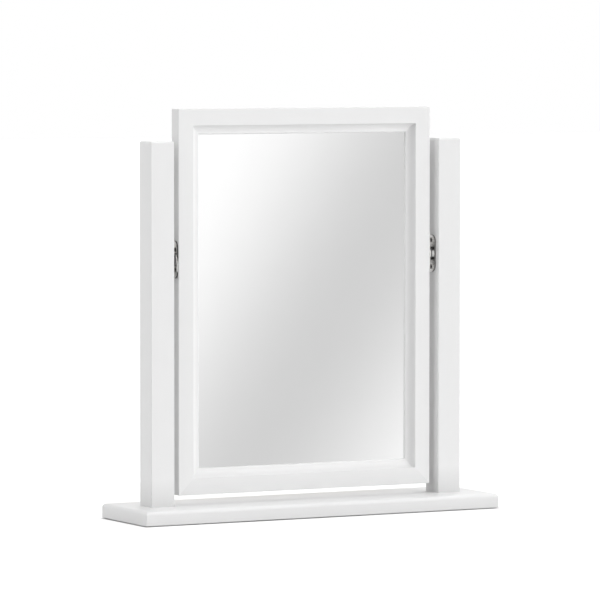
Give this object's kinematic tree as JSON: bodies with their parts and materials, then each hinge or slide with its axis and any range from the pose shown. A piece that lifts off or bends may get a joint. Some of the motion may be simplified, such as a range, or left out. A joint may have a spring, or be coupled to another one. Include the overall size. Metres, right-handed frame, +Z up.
{
  "type": "vanity mirror",
  "caption": "Free-standing dressing-table mirror: a moulded frame that tilts on friction swivels between square posts on a flat base.",
  "frame": {"origin": "middle of the footprint, on the surface that the mirror stands on", "axes": "+Z up, +X to the right of a person who looks into the mirror, +Y from that person through the mirror to its back"},
  "size_m": [0.561, 0.14, 0.5728],
  "materials": {
    "painted_wood": "satin white paint",
    "pad_felt": "pressed felt",
    "screw_steel": "zinc plated",
    "dowel_wood": "bare beech",
    "silvered_glass": "silvered on the back, polished",
    "backing_fibreboard": "bare hard fibreboard",
    "bright_nickel": "bright nickel plate",
    "dark_steel": "dark nickel plate",
    "washer_plastic": "matt black",
    "spring_steel": "oiled spring steel"
  },
  "bodies": {
    "stand": {"base_board": "painted_wood", "base_pads": "pad_felt", "left_post": "painted_wood", "right_post": "painted_wood", "post_screws": "screw_steel", "post_dowels": "dowel_wood", "left_post_plate": "bright_nickel", "right_post_plate": "bright_nickel", "post_plate_screws": "dark_steel", "left_friction_washer": "washer_plastic", "right_friction_washer": "washer_plastic", "left_spring_washer": "spring_steel", "right_spring_washer": "spring_steel"},
    "mirror_frame": {"frame_top_rail": "painted_wood", "frame_bottom_rail": "painted_wood", "frame_left_stile": "painted_wood", "frame_right_stile": "painted_wood", "mitre_dowels": "dowel_wood", "mirror_glass": "silvered_glass", "backing_board": "backing_fibreboard", "backing_screws": "screw_steel", "left_frame_plate": "bright_nickel", "right_frame_plate": "bright_nickel", "frame_plate_screws": "dark_steel", "left_pivot_rivet": "bright_nickel", "right_pivot_rivet": "bright_nickel", "left_spacer_ring": "bright_nickel", "right_spacer_ring": "bright_nickel"}
  },
  "joints": [
    {"name": "mirror_tilt", "type": "hinge", "parent": "stand", "child": "mirror_frame", "pos_m": [0, 0, 0.3633], "axis": [1, 0, 0], "continuous": true}
  ]
}
